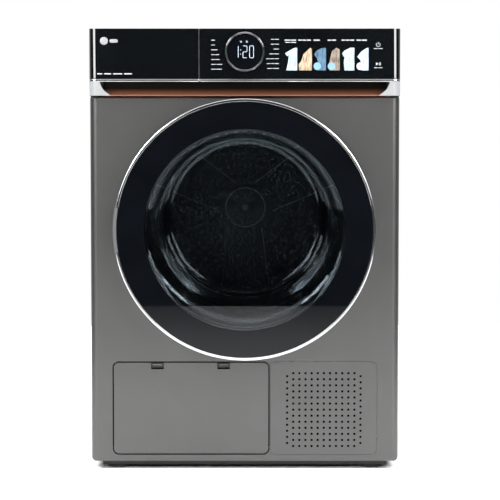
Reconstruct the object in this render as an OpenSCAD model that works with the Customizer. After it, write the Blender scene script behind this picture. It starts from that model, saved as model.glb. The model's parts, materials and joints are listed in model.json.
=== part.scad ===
// Front-loading heat-pump clothes dryer, 60 cm class, as an assembly of separate pieces.
// Millimetres. +Z is up, the door faces -Y, and the origin is on the floor under the middle.

/* [Cabinet] */
// Overall width of the cabinet
body_w = 595; // [593:1:600]
// Height from the floor to the worktop
body_h = 850; // [848:1:856]
// Depth from the front panel to the rear sheet
cabinet_d = 590; // [586:1:600]
// Thickness of the pressed steel sheets
sheet = 1; // [0.8:0.1:1.2]
// Radius of the rounded front corners
corner_r = 14; // [10:1:16]
// Radius of the levelling feet
foot_r = 22; // [18:1:24]

/* [Door] */
// Outer radius of the bright door ring
door_r = 250; // [248:1:251]
// Height of the door's centre
door_z = 467; // [466:1:468]
// How far the door stands in front of the front panel
door_proud = 50; // [49:1:52]
// Radius of the clear window
window_r = 192; // [190:1:193]
// Radius of the glass bowl at its inner end
bowl_end_r = 162; // [155:1:165]
// How far the bowl reaches behind the door's face
bowl_depth = 155; // [140:1:158]

/* [Drum] */
// Outer radius of the drum
drum_r = 283; // [280:1:283]
// Length of the drum
drum_len = 444; // [440:1:446]
// Height of the drum's axis
drum_z = 485; // [484:1:486]
// Height of the lifters inside the drum
lifter_h = 52; // [40:1:60]

/* [Control panel] */
// Height of the glossy panel
panel_h = 96; // [95:1:98]
// Height of the bright strip below the panel
strip_h = 5; // [4:0.5:6]
// Width of the water tank's drawer front
drawer_w = 210; // [208:1:212]
// Outer radius of the selector ring
dial_r = 37.5; // [36:0.5:38]
// Height of the selector ring's centre
dial_z = 806; // [804:1:808]

/* [Plinth] */
// Width of the access flap's opening
flap_w = 304; // [300:1:306]
// Height of the access flap's opening
flap_h = 182; // [180:1:183]
// Distance between the vent holes
vent_pitch = 11.84; // [11.5:0.02:12]
// Radius of one vent hole
vent_r = 2.4; // [1.8:0.1:2.6]

/* [Hidden] */
$fn = 96;
ARC = 10;      // segments in a small rounded corner
GAP = 0.5;     // working clearance between pieces that move past each other
TOUCH = 0.05;  // running clearance of a pin in its bore

rear_proud = 10;
total_d = door_proud + cabinet_d + rear_proud;
half_w = body_w / 2;
door_y = -total_d / 2;
face_y = door_y + door_proud;
rear_y = face_y + cabinet_d;
fascia_y = face_y - 15;
fascia_back_y = face_y + 3;
fascia_t = 3;

panel_z = body_h - panel_h;
strip_z = panel_z - strip_h;
seam_x = -half_w + drawer_w + 0.4;
seam_gap = 0.8;
trough_r = 24;
trough_z = strip_z - 1 - trough_r;
trough_y = fascia_y + 6;
trough_half = 272;
cap_in = [255, 273];
face_top = trough_z - 3;
face_bottom = 16;
wrap_d = 25;
roll_r = 6;
foot_fillet = 9;
worktop_t = 24;
worktop_z = body_h - worktop_t;
rail_w = 14;
rail_y = fascia_back_y + GAP;

door_back_y = face_y - 4;
opening_r = 206;
throat_r = 194;
glass_y = door_y + 0.5;
glass_t = 4;
mask_y = glass_y + glass_t + GAP;
mask_back_y = mask_y + 20;
frame_y = mask_back_y + 5;
ring_in_r = door_r - 11;
disc_r = ring_in_r - GAP;
glass_r = door_r - 6;
rabbet_r = glass_r + GAP;
rabbet_y = mask_y - 0.3;
handle_half = 10;
hinge_x = door_r - 12;
hinge_y = face_y - 25;
pin_r = 4;
ear_z = 37;
latch_x = -215;
bowl_end_y = door_y + bowl_depth;

drum_front_y = face_y + 53;
drum_back_y = drum_front_y + drum_len;
drum_t = 0.7;
back_t = 1.2;
lip_r = 231;
collar_r = 216;
shaft_r = 12;
bulkhead_y = face_y + 19;
rear_plate_y = drum_back_y + 22;
plate_t = 1.5;
roller_r = 20;
roller_angle = 50;
roller_d = drum_r + roller_r + 0.3;
roller_x = roller_d * cos(roller_angle);
roller_z = drum_z - roller_d * sin(roller_angle);
roller_y = drum_front_y + 6;
filter_half = 95;
filter_y = bulkhead_y + 6.5;
filter_t = 11;

pulley_r = 6;
motor_x = 225;
motor_z = 140;
motor_r = 50;
rotor_r = 28;
belt_t = 1.5;
belt_y = drum_front_y + 302;
belt_w = 9;
fan_r = 60;
fan_y = drum_front_y + 17;
fan_d = 50;

flap_x = -256;
flap_z = 28;
flap_r = 12.5;
flap_gap = 2.5;
flap_pin_r = 2.5;
flap_axis_y = face_y + 7;
flap_axis_z = 42.5;
lug_x = [flap_x + 8, flap_x + flap_w - 18];
lug_w = 10;
socket_r = 4.4;
latch_offsets = [87, 215];
latch_half = 12;
bay_y = face_y + 13;
bay_x = [-259, 51];
bay_z = [30, 206];
bay_wall = 3;
cover_y = bay_y + 34;
duct_x = [-262, 40];
duct_top = 168;
duct_back_y = rear_y - 30;
lever_x = [-215, -5];
lever_z = 101;
well_z = bay_z[1] + 3;

vent_x = 153;
vent_z = 116;
vent_cols = 11;
vent_rows = 13;
plate_x = [flap_x + flap_w + 1.2, 256];
foot_x = 245;
foot_y = [-232, 272];
stud_r = 5;
base_z = 22;
skirt_z = 6;

tank_x = [-283, -97];
tank_z = [768, 822];
tank_y = [face_y + 4, 230];
inlet_x = -190;
inlet_z = 800;
inlet_r = 10;

outlet_z = 95;
drain_x = 215;
gland_x = -215;
spout_r = 9;
hose_r = 7;

function turn(a) = [cos(a), sin(a)];
function arc(c, r, a0, a1, n = ARC) = [for (i = [0:n]) c + r * turn(a0 + (a1 - a0) * i / n)];
function rounded(x0, z0, x1, z1, r) = concat(
    arc([x1 - r, z0 + r], r, -90, 0), arc([x1 - r, z1 - r], r, 0, 90),
    arc([x0 + r, z1 - r], r, 90, 180), arc([x0 + r, z0 + r], r, 180, 270));
// A plan outline that is open at the back, with the front corners rounded by rl and rr.
function plan(x0, x1, yf, yb, rl, rr) = concat(
    [[x1, yb], [x0, yb]],
    rl > 0 ? arc([x0 + rl, yf + rl], rl, 180, 270) : [[x0, yf]],
    rr > 0 ? arc([x1 - rr, yf + rr], rr, 270, 360) : [[x1, yf]]);

// A 2D shape in X and Z, made solid from y0 back to y1.
module slab(y0, y1) translate([0, y1, 0]) rotate([90, 0, 0]) linear_extrude(y1 - y0) children();
// A 2D shape in Y and Z, made solid from x0 to x1.
module bar(x0, x1) translate([x0, 0, 0]) rotate([90, 0, 90]) linear_extrude(x1 - x0) children();
// A 2D shape in X and Y, made solid from z0 to z1.
module column(z0, z1) translate([0, 0, z0]) linear_extrude(z1 - z0) children();
module block(p, q) translate(p) cube(q - p);
// A profile of [radius, y] points turned round a line along Y at the height z.
module turned(profile, z, start = 0, sweep = 360)
    translate([0, 0, z]) rotate([90, 0, 0]) rotate([0, 0, start])
        rotate_extrude(angle = sweep) polygon([for (p = profile) [p[0], -p[1]]]);
module rod_x(r, x0, x1, y, z) translate([x0, y, z]) rotate([0, 90, 0]) cylinder(r = r, h = x1 - x0);
module rod_y(r, y0, y1, x, z) translate([x, y1, z]) rotate([90, 0, 0]) cylinder(r = r, h = y1 - y0);
module rod_z(r, z0, z1, x, y) translate([x, y, z0]) cylinder(r = r, h = z1 - z0);
module tube_y(ro, ri, y0, y1, x, z) difference() {
    rod_y(ro, y0, y1, x, z);
    rod_y(ri, y0 - 1, y1 + 1, x, z);
}
module mirrored() {
    children();
    mirror([1, 0, 0]) children();
}

// A front cover of thickness t, bent round the cabinet's rounded corners.
module wrap(x0, x1, z0, z1, yf, yb, t, left, right) column(z0, z1) difference() {
    polygon(plan(x0, x1, yf, yb, left ? corner_r : 0, right ? corner_r : 0));
    polygon(plan(x0 + (left ? t : -1), x1 + (right ? -t : 1), yf + t, yb + 1,
        left ? corner_r - t : 0, right ? corner_r - t : 0));
}

// ---- base and cabinet ----

module at_feet() for (x = [-foot_x, foot_x], y = foot_y) translate([x, y, 0]) children();
module pipe_paths(r) for (z = [90, 130]) rod_x(r, 20, 145, 190, z);

module base_frame() color("dimgray") difference() {
    union() {
        difference() {
            block([-276, face_y + 20, skirt_z], [276, rear_y - 11, base_z]);
            block([-273, face_y + 23, skirt_z - 1], [273, rear_y - 14, base_z + 1]);
        }
        block([-282, bay_y, base_z], [282, rear_y - 9, base_z + 3]);
        difference() {
            block([-282, bay_y, base_z], [282, rear_y - 9, 60]);
            block([-279, bay_y + 3, base_z - 1], [279, rear_y - 12, 61]);
        }
        block([bay_x[0], bay_y, bay_z[0]], [bay_x[1], cover_y + bay_wall, bay_z[1]]);
        for (x = [duct_x[0], duct_x[1] - 3])
            block([x, cover_y, base_z], [x + 3, duct_back_y, duct_top]);
        block([duct_x[0], duct_back_y - 3, base_z], [duct_x[1], duct_back_y, duct_top]);
        at_feet() translate([0, 0, 8]) cylinder(r = 14, h = base_z);
        // sockets for the flap's pins
        for (x = [bay_x[0], bay_x[1] - 10]) {
            rod_x(socket_r, x, x + 10, flap_axis_y, flap_axis_z);
            block([x, flap_axis_y, flap_axis_z - socket_r], [x + 10, bay_y + 6, flap_axis_z + socket_r]);
        }
    }
    // the filter bay behind the flap, and its way through to the exchangers
    difference() {
        union() {
            block([bay_x[0] + bay_wall, bay_y - 1, bay_z[0] + bay_wall],
                [bay_x[1] - bay_wall, cover_y, bay_z[1] - bay_wall]);
            // room below the flap's pins for its lower edge as it swings in
            block([bay_x[0] + bay_wall, bay_y - 1, base_z + 4], [bay_x[1] - bay_wall, bay_y + 12, 60]);
        }
        for (x = [bay_x[0], bay_x[1] - 10])
            block([x, bay_y - 2, flap_axis_z - socket_r], [x + 10, bay_y + 6, flap_axis_z + socket_r]);
    }
    block([duct_x[0] + 22, cover_y - 1, 37], [duct_x[1] - 12, cover_y + 4, duct_top - 6]);
    // the way to the fan
    block([duct_x[1] - 4, fan_y + 3, base_z + 6], [duct_x[1] + 1, fan_y + 57, 117]);
    pipe_paths(5);
    at_feet() translate([0, 0, 4]) cylinder(r = stud_r + TOUCH, h = 40);
    rod_x(flap_pin_r + TOUCH, bay_x[0] + 1, bay_x[1] - 1, flap_axis_y, flap_axis_z);
}

module foot(x, y) color("black") {
    rod_z(foot_r, 0, 5, x, y);
    rod_z(stud_r, 0, 28, x, y);
}
module foot_front_left() foot(-foot_x, foot_y[0]);
module foot_front_right() foot(foot_x, foot_y[0]);
module foot_rear_left() foot(-foot_x, foot_y[1]);
module foot_rear_right() foot(foot_x, foot_y[1]);

// The waste beside the rolled upper edge, for the face that lies t inside the sheet.
module roll_waste(t) polygon(concat(
    [[t - 1, 1], [roll_r, 1]], arc([roll_r, -roll_r], roll_r - t, 90, 180), [[t - 1, -roll_r]]));
// The outer form of the front cover for t = 0, and its inner form for t = sheet.
module cover_form(t, z0, back) difference() {
    column(z0, face_top - t)
        polygon(plan(t - half_w, half_w - t, face_y + t, back, corner_r - t, corner_r - t));
    bar(-half_w - 1, half_w + 1) translate([face_y, face_top]) roll_waste(t);
    mirrored() slab(face_y - 1, back + 1) translate([half_w, face_top]) mirror([1, 0]) roll_waste(t);
}

module front_panel() color("slategray") difference() {
    union() {
        difference() {
            cover_form(0, face_bottom, face_y + wrap_d);
            cover_form(sheet, face_bottom - 1, face_y + wrap_d + 1);
        }
        column(face_bottom, face_bottom + sheet) difference() {
            polygon(plan(sheet / 2 - half_w, half_w - sheet / 2, face_y + sheet / 2, face_y + 12,
                corner_r - sheet / 2, corner_r - sheet / 2));
            translate([-260, face_y + 4]) square([520, 20]);
        }
    }
    column(face_top - 2 * sheet, face_top + 1) {
        translate([-260, face_y + roll_r]) square([520, wrap_d]);
        translate([roll_r - half_w, face_y + 12]) square([2 * (half_w - roll_r), wrap_d]);
    }
    mirrored() slab(face_y - 1, face_y + wrap_d + 1) difference() {
        translate([half_w - foot_fillet, face_bottom - 1]) square(foot_fillet + 1);
        translate([half_w - foot_fillet, face_bottom + foot_fillet]) circle(foot_fillet);
    }
    slab(face_y - 1, face_y + 2) {
        translate([0, door_z]) circle(opening_r);
        polygon(rounded(flap_x, flap_z, flap_x + flap_w, flap_z + flap_h, flap_r));
        polygon(rounded(plate_x[0], flap_z, plate_x[1], flap_z + flap_h, flap_r));
        for (s = [-1, 1]) translate([hinge_x - 8, door_z + s * ear_z - 6.5]) square([16, 13]);
        translate([latch_x - 10, door_z - 9]) square([20, 18]);
    }
}

// Rows of holes, with one more column on each side that sits half a pitch lower.
module vent_grille() color("slategray") slab(face_y, face_y + sheet) difference() {
    polygon(rounded(plate_x[0] + GAP, flap_z + GAP, plate_x[1] - GAP, flap_z + flap_h - GAP, flap_r - GAP));
    for (i = [0:vent_cols - 1], j = [0:vent_rows - 1]) translate(
        [vent_x + (i - (vent_cols - 1) / 2) * vent_pitch, vent_z + (j - (vent_rows - 1) / 2) * vent_pitch])
        circle(vent_r, $fn = 24);
    for (s = [-1, 1], j = [0:vent_rows - 2]) translate(
        [vent_x + s * (vent_cols + 1) / 2 * vent_pitch, vent_z + (j - (vent_rows - 2) / 2) * vent_pitch])
        circle(vent_r, $fn = 24);
}

module side_panel() difference() {
    union() {
        block([half_w - rail_w, face_y + wrap_d + 1, face_bottom], [half_w, rear_y, worktop_z]);
        block([half_w - rail_w, rail_y, face_top + 1], [half_w, face_y + wrap_d + 2, worktop_z]);
    }
    block([half_w - rail_w - 1, face_y + wrap_d + 1 + sheet, face_bottom + sheet],
        [half_w - sheet, rear_y - sheet, worktop_z - sheet]);
    block([half_w - rail_w - 1, rail_y + sheet, face_top + 1 + sheet],
        [half_w - sheet, face_y + wrap_d + 3, worktop_z - sheet]);
}
module side_panel_right() color("slategray") side_panel();
module side_panel_left() color("slategray") mirror([1, 0, 0]) side_panel();

module rear_panel() color("gainsboro") slab(rear_y - 2 * sheet, rear_y - sheet) difference() {
    translate([-half_w + 2, base_z + 8]) square([body_w - 4, worktop_z - base_z - 9.2]);
    for (x = [drain_x, gland_x]) translate([x, outlet_z]) circle(spout_r + 0.3);
    for (i = [0:9], x = [drain_x - 15, gland_x + 15]) translate([x - 35, 150 + 12 * i]) square([70, 5]);
    translate([0, drum_z]) circle(190);
}

// A raised cover over the air way behind the drum, with a round inner step.
module rear_duct_cover() color("silver") difference() {
    union() {
        slab(rear_y - sheet, rear_y + rear_proud - 3) {
            translate([0, drum_z]) circle(205);
            polygon(rounded(-150, 175, 60, drum_z, 20));
        }
        rod_y(150, rear_y, rear_y + rear_proud, 0, drum_z);
    }
    slab(rear_y - 3, rear_y + rear_proud - 5) {
        translate([0, drum_z]) circle(202);
        polygon(rounded(-147, 178, 57, drum_z, 17));
    }
    rod_y(147, rear_y, rear_y + rear_proud - 2, 0, drum_z);
}

module worktop_frame() color("dimgray") column(worktop_z, body_h) difference() {
    polygon(concat([[-half_w, rail_y], [half_w, rail_y]],
        arc([half_w - 6, rear_y - 4], 6, 0, 90), arc([6 - half_w, rear_y - 4], 6, 90, 180)));
    translate([rail_w - half_w, rail_y + rail_w])
        square([body_w - 2 * rail_w, rear_y - 12 - rail_y - rail_w]);
}
module worktop_board() color("slategray")
    block([rail_w - half_w, rail_y + rail_w, body_h - 16], [half_w - rail_w, rear_y - 12, body_h - 0.6]);

// ---- control panel, grip and water tank ----

module panel_shell(x0, x1, left, right) {
    wrap(x0, x1, panel_z, body_h, fascia_y, fascia_back_y, fascia_t, left, right);
    column(body_h - fascia_t, body_h)
        polygon(plan(x0, x1, fascia_y, fascia_back_y, left ? corner_r : 0, right ? corner_r : 0));
}

module fascia_panel() color([0.03, 0.03, 0.04]) difference() {
    union() {
        panel_shell(seam_x + seam_gap, half_w, false, true);
        block([seam_x + seam_gap, fascia_y, panel_z], [seam_x + seam_gap + 3, fascia_back_y, body_h]);
    }
    rod_y(dial_r + 0.7, fascia_y - 1, fascia_y + 5, 0, dial_z);
}

module strip(x0, x1, left, right)
    wrap(x0, x1, strip_z, panel_z, fascia_y - 0.8, fascia_back_y, 4, left, right);
module fascia_strip() color("white") strip(seam_x + seam_gap, half_w, false, true);
module drawer_strip() color("white") strip(-half_w, seam_x, true, false);

module grip_trough() color("sienna") bar(-trough_half, trough_half) difference() {
    translate([trough_y, trough_z - 2]) square([trough_r + 4, trough_r + 2.5]);
    translate([trough_y, trough_z + trough_r]) circle(trough_r);
}

// The ends of the grip, whose inner sides lean outwards and close the trough.
module grip_end_caps() color("gainsboro") mirrored() difference() {
    intersection() {
        column(trough_z - 1.5, strip_z - 0.2)
            polygon(plan(cap_in[0] - 1, half_w, fascia_y, fascia_back_y, 0, corner_r));
        slab(fascia_y - 1, fascia_back_y + 1) polygon(concat(
            [[half_w + 1, trough_z - 2], [cap_in[0], trough_z - 2]],
            arc([cap_in[0] - 6, trough_z + 28], 28, -50, -5),
            [[cap_in[1], strip_z], [half_w + 1, strip_z]]));
    }
    block([cap_in[0] - 5, trough_y, trough_z - 3], [trough_half + 0.1, fascia_back_y + 1, strip_z]);
}

module display_module() color("black") {
    rod_y(dial_r - 3.5, fascia_y - 1.5, fascia_y + 1, 0, dial_z);
    rod_y(dial_r - 4, fascia_y + 1, fascia_back_y, 0, dial_z);
}
module dial_ring() color("silver") turned([
        [dial_r - 3, fascia_y + 6], [dial_r - 3, fascia_y - 4], [dial_r - 2, fascia_y - 5],
        [dial_r - 1, fascia_y - 5], [dial_r, fascia_y - 3.5], [dial_r, fascia_y + 6]
    ], dial_z);
module control_board() color("darkgreen")
    block([-60, face_y + 6, panel_z + 10], [220, face_y + 7.6, worktop_z - 8]);

module drawer_front() color([0.03, 0.03, 0.04]) {
    panel_shell(-half_w, seam_x, true, false);
    block([seam_x - 3, fascia_y, panel_z], [seam_x, fascia_back_y, body_h]);
    difference() {
        block([-270, fascia_y + 2, tank_z[0] + 6], [-110, tank_y[0], tank_z[1] - 6]);
        block([-267, fascia_y + 3, tank_z[0] + 9], [-113, tank_y[0] + 1, tank_z[1] - 9]);
    }
}
module water_tank() color("lightgray") difference() {
    bar(tank_x[0], tank_x[1]) polygon(rounded(tank_y[0], tank_z[0], tank_y[1], tank_z[1], 8));
    bar(tank_x[0] + 2, tank_x[1] - 2)
        polygon(rounded(tank_y[0] + 2, tank_z[0] + 2, tank_y[1] - 2, tank_z[1] - 2, 6));
    rod_y(inlet_r, tank_y[1] - 3, tank_y[1] + 1, inlet_x, inlet_z);
}
module tank_shelf() color("gray") difference() {
    block([-290, face_y + 20, tank_z[0] - 5], [-90, rear_plate_y, tank_z[0] + 6]);
    block([-287, face_y + 19, tank_z[0] - 2.5], [-93, rear_plate_y + 1, tank_z[0] + 7]);
}

// ---- door ----

// The space that the fixed hinge ears need inside the door, over its whole swing.
module hinge_pocket()
    block([hinge_x - 20, door_y + 12, door_z - 56], [door_r + 5, face_y, door_z + 56]);
module ear_slots() for (s = [-1, 1]) block([hinge_x - 9, door_y + 12, door_z + s * ear_z - 7.5],
    [door_r + 5, face_y, door_z + s * ear_z + 7.5]);

module door_ring() color("silver") difference() {
    turned(concat(
        [[ring_in_r, door_back_y], [ring_in_r, rabbet_y], [rabbet_r, rabbet_y],
            [rabbet_r, door_y + 0.4], [rabbet_r + 0.4, door_y]],
        arc([door_r - 2.4, door_y + 2.4], 2.4, 270, 360),
        arc([door_r - 8, door_back_y - 8], 8, 0, 90)), door_z, 180 + handle_half, 360 - 2 * handle_half);
    turned([
        [ring_in_r + 2.5, door_y + 8], [door_r - 2.7, door_y + 8],
        [door_r - 2.7, door_back_y - 9], [ring_in_r + 2.5, door_back_y - 9]
    ], door_z);
    ear_slots();
    // room for the hinge's barrels and arms
    rod_z(7, door_z - 56, door_z + 56, hinge_x, hinge_y);
    block([hinge_x - 20, hinge_y - 7, door_z - 56], [hinge_x, hinge_y + 7, door_z + 56]);
}

// The finger grip that fills the ring's gap: full in front, scooped out behind.
module door_handle() color("dimgray") turned([
        [ring_in_r, rabbet_y], [rabbet_r, rabbet_y], [rabbet_r, door_y + 0.5], [door_r - 1, door_y + 0.5],
        [door_r + 1.5, door_y + 4], [door_r + 1.5, door_y + 22], [door_r - 4, door_y + 24],
        [ring_in_r + 2.5, door_y + 24], [ring_in_r + 2.5, door_back_y], [ring_in_r, door_back_y]
    ], door_z, 180 - handle_half + 0.1, 2 * handle_half - 0.2);

module door_glass() color([0.05, 0.06, 0.07, 0.5])
    rod_y(glass_r, glass_y, glass_y + glass_t, 0, door_z);

module door_mask_frame() color("black") difference() {
    turned([
        [window_r, mask_y], [disc_r, mask_y], [disc_r, mask_back_y], [disc_r - 3, mask_back_y],
        [disc_r - 3, mask_y + 3], [window_r + 3, mask_y + 3], [window_r + 3, mask_back_y],
        [window_r, mask_back_y]
    ], door_z);
    hinge_pocket();
}

module door_bowl() color([0.6, 0.65, 0.68, 0.5]) turned(concat(
        [[200, frame_y - 4.5], [200, frame_y - 0.5], [189, frame_y - 0.5]],
        arc([bowl_end_r - 15, bowl_end_y - 17], 15, 8, 80),
        [[80, bowl_end_y - 0.8], [0, bowl_end_y], [0, bowl_end_y - 4], [80, bowl_end_y - 4.8]],
        arc([bowl_end_r - 15, bowl_end_y - 17], 11, 80, 8),
        [[185, frame_y - 4.5]]), door_z);

module door_inner_frame() color("gray") difference() {
    turned([
        [190, frame_y], [192.5, frame_y], [192.5, door_back_y - 2.5], [disc_r - 2.5, door_back_y - 2.5],
        [disc_r - 2.5, frame_y], [disc_r, frame_y], [disc_r, door_back_y], [190, door_back_y]
    ], door_z);
    hinge_pocket();
}

module door_hinge_block() color("darkgray") difference() {
    union() {
        block([hinge_x - 19.5, mask_y + 3, door_z - 54], [hinge_x - 9.5, door_back_y - 1, door_z + 54]);
        for (k = [[-54, -44.5], [-29.5, 29.5], [44.5, 54]]) {
            rod_z(6.5, door_z + k[0], door_z + k[1], hinge_x, hinge_y);
            block([hinge_x - 10, hinge_y - 6, door_z + k[0]], [hinge_x, hinge_y + 6, door_z + k[1]]);
        }
    }
    rod_z(pin_r, door_z - 60, door_z + 60, hinge_x, hinge_y);
}
module door_hinge_pin() color("silver") rod_z(pin_r, door_z - 54, door_z + 54, hinge_x, hinge_y);

module hinge_bracket() color("darkgray") {
    difference() {
        block([hinge_x - 26, face_y + sheet, door_z - 54], [hinge_x + 9, face_y + 4, door_z + 54]);
        for (s = [-1, 1]) rod_y(2.5, face_y, face_y + 5, hinge_x - 18, door_z + s * 15);
    }
    for (s = [-1, 1]) difference() {
        union() {
            rod_z(7, door_z + s * ear_z - 5.5, door_z + s * ear_z + 5.5, hinge_x, hinge_y);
            block([hinge_x - 6, hinge_y, door_z + s * ear_z - 5.5],
                [hinge_x + 6, face_y + sheet + 1, door_z + s * ear_z + 5.5]);
        }
        rod_z(pin_r + TOUCH, door_z + s * ear_z - 6, door_z + s * ear_z + 6, hinge_x, hinge_y);
    }
}

module door_hook() color("silver") {
    block([latch_x - 3, door_back_y, door_z - 6], [latch_x + 3, face_y + 9, door_z + 6]);
    block([latch_x - 3, face_y + 4, door_z - 8], [latch_x + 3, face_y + 9, door_z - 5]);
}
module door_latch() color("dimgray") difference() {
    block([latch_x - 18, face_y + sheet, door_z - 24], [latch_x + 10, bulkhead_y, door_z + 24]);
    block([latch_x - 7, face_y, door_z - 10], [latch_x + 7, face_y + 13, door_z + 10]);
}
module door_seal() color("dimgray") turned([
        [197, bulkhead_y], [197, door_back_y + 3], [199, door_back_y + GAP],
        [201, door_back_y + GAP], [203.5, door_back_y + 4], [203.5, bulkhead_y]
    ], door_z);

// ---- drum and its supports ----

module front_bulkhead() color("silver") {
    difference() {
        union() {
            slab(bulkhead_y, bulkhead_y + plate_t) {
                polygon(rounded(-280, 212, 280, tank_z[0] - 5, 12));
                for (x = [-278.5, 262]) translate([x, base_z + 3]) square([16.5, 200]);
            }
            rod_y(throat_r + 2.5, face_y + 3, drum_front_y - 4, 0, door_z);
            rod_y(collar_r + 3, bulkhead_y, drum_front_y - 3, 0, drum_z);
            block([-filter_half - 4, bulkhead_y, well_z], [filter_half + 4, filter_y + filter_t + 2, 250]);
        }
        rod_y(throat_r, face_y, drum_front_y, 0, door_z);
        difference() {
            rod_y(collar_r, bulkhead_y + plate_t, drum_front_y, 0, drum_z);
            rod_y(throat_r + 2.5, bulkhead_y, drum_front_y - 4, 0, door_z);
            block([-filter_half - 4, bulkhead_y, well_z], [filter_half + 4, filter_y + filter_t + 2, 280]);
        }
        block([-filter_half - GAP, filter_y - GAP, well_z + 3.5],
            [filter_half + GAP, filter_y + filter_t + GAP, 306]);
    }
    for (s = [-1, 1]) rod_y(4, bulkhead_y + plate_t - 1, roller_y + 16, s * roller_x, roller_z);
}

module lint_filter() color("white") slab(filter_y, filter_y + filter_t) difference() {
    translate([-filter_half, well_z + 4]) square([2 * filter_half, 93]);
    translate([0, door_z]) circle(throat_r + 0.5);
    for (i = [-1:1]) translate([60 * i - 27, well_z + 12]) square([54, 42]);
}

module drum_shell() color("lightgray") turned([
        [lip_r, drum_front_y - 14], [lip_r + drum_t, drum_front_y - 14], [lip_r + drum_t, drum_front_y],
        [drum_r, drum_front_y], [drum_r, drum_back_y], [drum_r - drum_t, drum_back_y],
        [drum_r - drum_t, drum_front_y + drum_t], [lip_r, drum_front_y + drum_t]
    ], drum_z);

module star(w0, w1, r) for (a = [60, 180, 300]) rotate(a) polygon([[-w0, 0], [w0, 0], [w1, r], [-w1, r]]);
module drum_back() color("silver") translate([0, 0, drum_z]) {
    slab(drum_back_y, drum_back_y + back_t) difference() {
        circle(drum_r);
        for (a = [0, 120, 240], i = [0:6], j = [-3:3])
            rotate(a + 7.5 * j) translate([0, 92 + 16 * i]) circle(3.2, $fn = 24);
    }
    slab(drum_back_y - 2.5, drum_back_y) star(30, 55, 200);
    slab(drum_back_y - 5, drum_back_y) circle(43);
    slab(drum_back_y + back_t, drum_back_y + 9) star(22, 16, 215);
    slab(drum_back_y + back_t, drum_back_y + 12) circle(38);
    slab(drum_back_y + 12, rear_plate_y + 16) circle(shaft_r);
}
module lifter_outline(inset) intersection() {
    circle(drum_r - drum_t);
    polygon(concat([[36 - inset, -drum_r], [inset - 36, -drum_r]],
        arc([0, lifter_h - drum_r - 4], 12 - inset, 170, 10)));
}
module drum_lifters() color("gray") translate([0, 0, drum_z]) for (a = [60, 180, 300])
    rotate([0, a, 0]) difference() {
        slab(drum_front_y + 25, drum_back_y - 12) lifter_outline(0);
        slab(drum_front_y + 28, drum_back_y - 15) lifter_outline(3);
    }

module drum_seals() color("beige") {
    tube_y(lip_r - 0.3, collar_r + 3, drum_front_y - 13, drum_front_y - 3, 0, drum_z);
    tube_y(262, 254, drum_back_y + 3.3, rear_plate_y, 0, drum_z);
}
module drum_bearing() color("goldenrod")
    tube_y(20, shaft_r + TOUCH, rear_plate_y - 5, rear_plate_y + 14, 0, drum_z);

module rear_bulkhead() color("silver") difference() {
    union() {
        slab(rear_plate_y, rear_plate_y + plate_t) {
            polygon(rounded(-275, 182, 275, 785, 30));
            for (x = [-275, 263]) translate([x, base_z + 3]) square([12, 220]);
        }
        rod_y(32, rear_plate_y - 5, rear_plate_y + 14, 0, drum_z);
    }
    rod_y(20, rear_plate_y - 6, rear_plate_y + 15, 0, drum_z);
    for (k = [0:11]) rod_y(22, rear_plate_y - 1, rear_plate_y + 5,
        160 * cos(30 * k), drum_z + 160 * sin(30 * k));
}

module roller(x) color("black")
    tube_y(roller_r, 4 + TOUCH, roller_y, roller_y + 12, x, roller_z);
module roller_right() roller(roller_x);
module roller_left() roller(-roller_x);

// ---- drive ----

// Both straight runs of the belt touch the drum and the pulley at one tilt from the line of centres.
pulley_at = [motor_x, motor_z - drum_z];
belt_tilt = asin((drum_r - pulley_r) / norm(pulley_at));
belt_dir = atan2(pulley_at[1], pulley_at[0]);
module belt_outline(extra) polygon(concat(
    arc([0, 0], drum_r + extra, belt_dir + 90 - belt_tilt, belt_dir + 270 + belt_tilt, 120),
    arc(pulley_at, pulley_r + extra, belt_dir + belt_tilt - 90, belt_dir + 90 - belt_tilt, 12)));
module drive_belt() color("black") translate([0, 0, drum_z]) slab(belt_y, belt_y + belt_w) difference() {
    belt_outline(0.3 + belt_t);
    belt_outline(0.3);
}

module motor() color("dimgray") difference() {
    union() {
        rod_y(motor_r, belt_y - 150, belt_y - 25, motor_x, motor_z);
        for (y = [belt_y - 140, belt_y - 55])
            block([motor_x - 45, y, base_z + 3], [motor_x + 45, y + 20, motor_z - 30]);
    }
    rod_y(motor_r - 6, belt_y - 140, belt_y - 35, motor_x, motor_z);
    rod_y(5 + TOUCH, belt_y - 151, belt_y - 24, motor_x, motor_z);
}
module motor_rotor() color("silver") {
    rod_y(5, fan_y + 4, belt_y + belt_w + 6, motor_x, motor_z);
    rod_y(rotor_r, belt_y - 135, belt_y - 40, motor_x, motor_z);
    rod_y(pulley_r, belt_y - 3, belt_y + belt_w + 3, motor_x, motor_z);
    for (y = [belt_y - 5, belt_y + belt_w + 3]) rod_y(10, y, y + 2, motor_x, motor_z);
    // the fan wheel on the same shaft
    rod_y(fan_r, fan_y + fan_d, fan_y + fan_d + 4, motor_x, motor_z);
    rod_y(14, fan_y + 10, fan_y + fan_d, motor_x, motor_z);
    tube_y(fan_r, fan_r - 18, fan_y + 3, fan_y + 6, motor_x, motor_z);
    for (k = [0:11]) translate([motor_x, 0, motor_z]) rotate([0, 30 * k, 0])
        block([fan_r - 18, fan_y + 5, -1], [fan_r - 1, fan_y + fan_d + 1, 1]);
}
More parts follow.
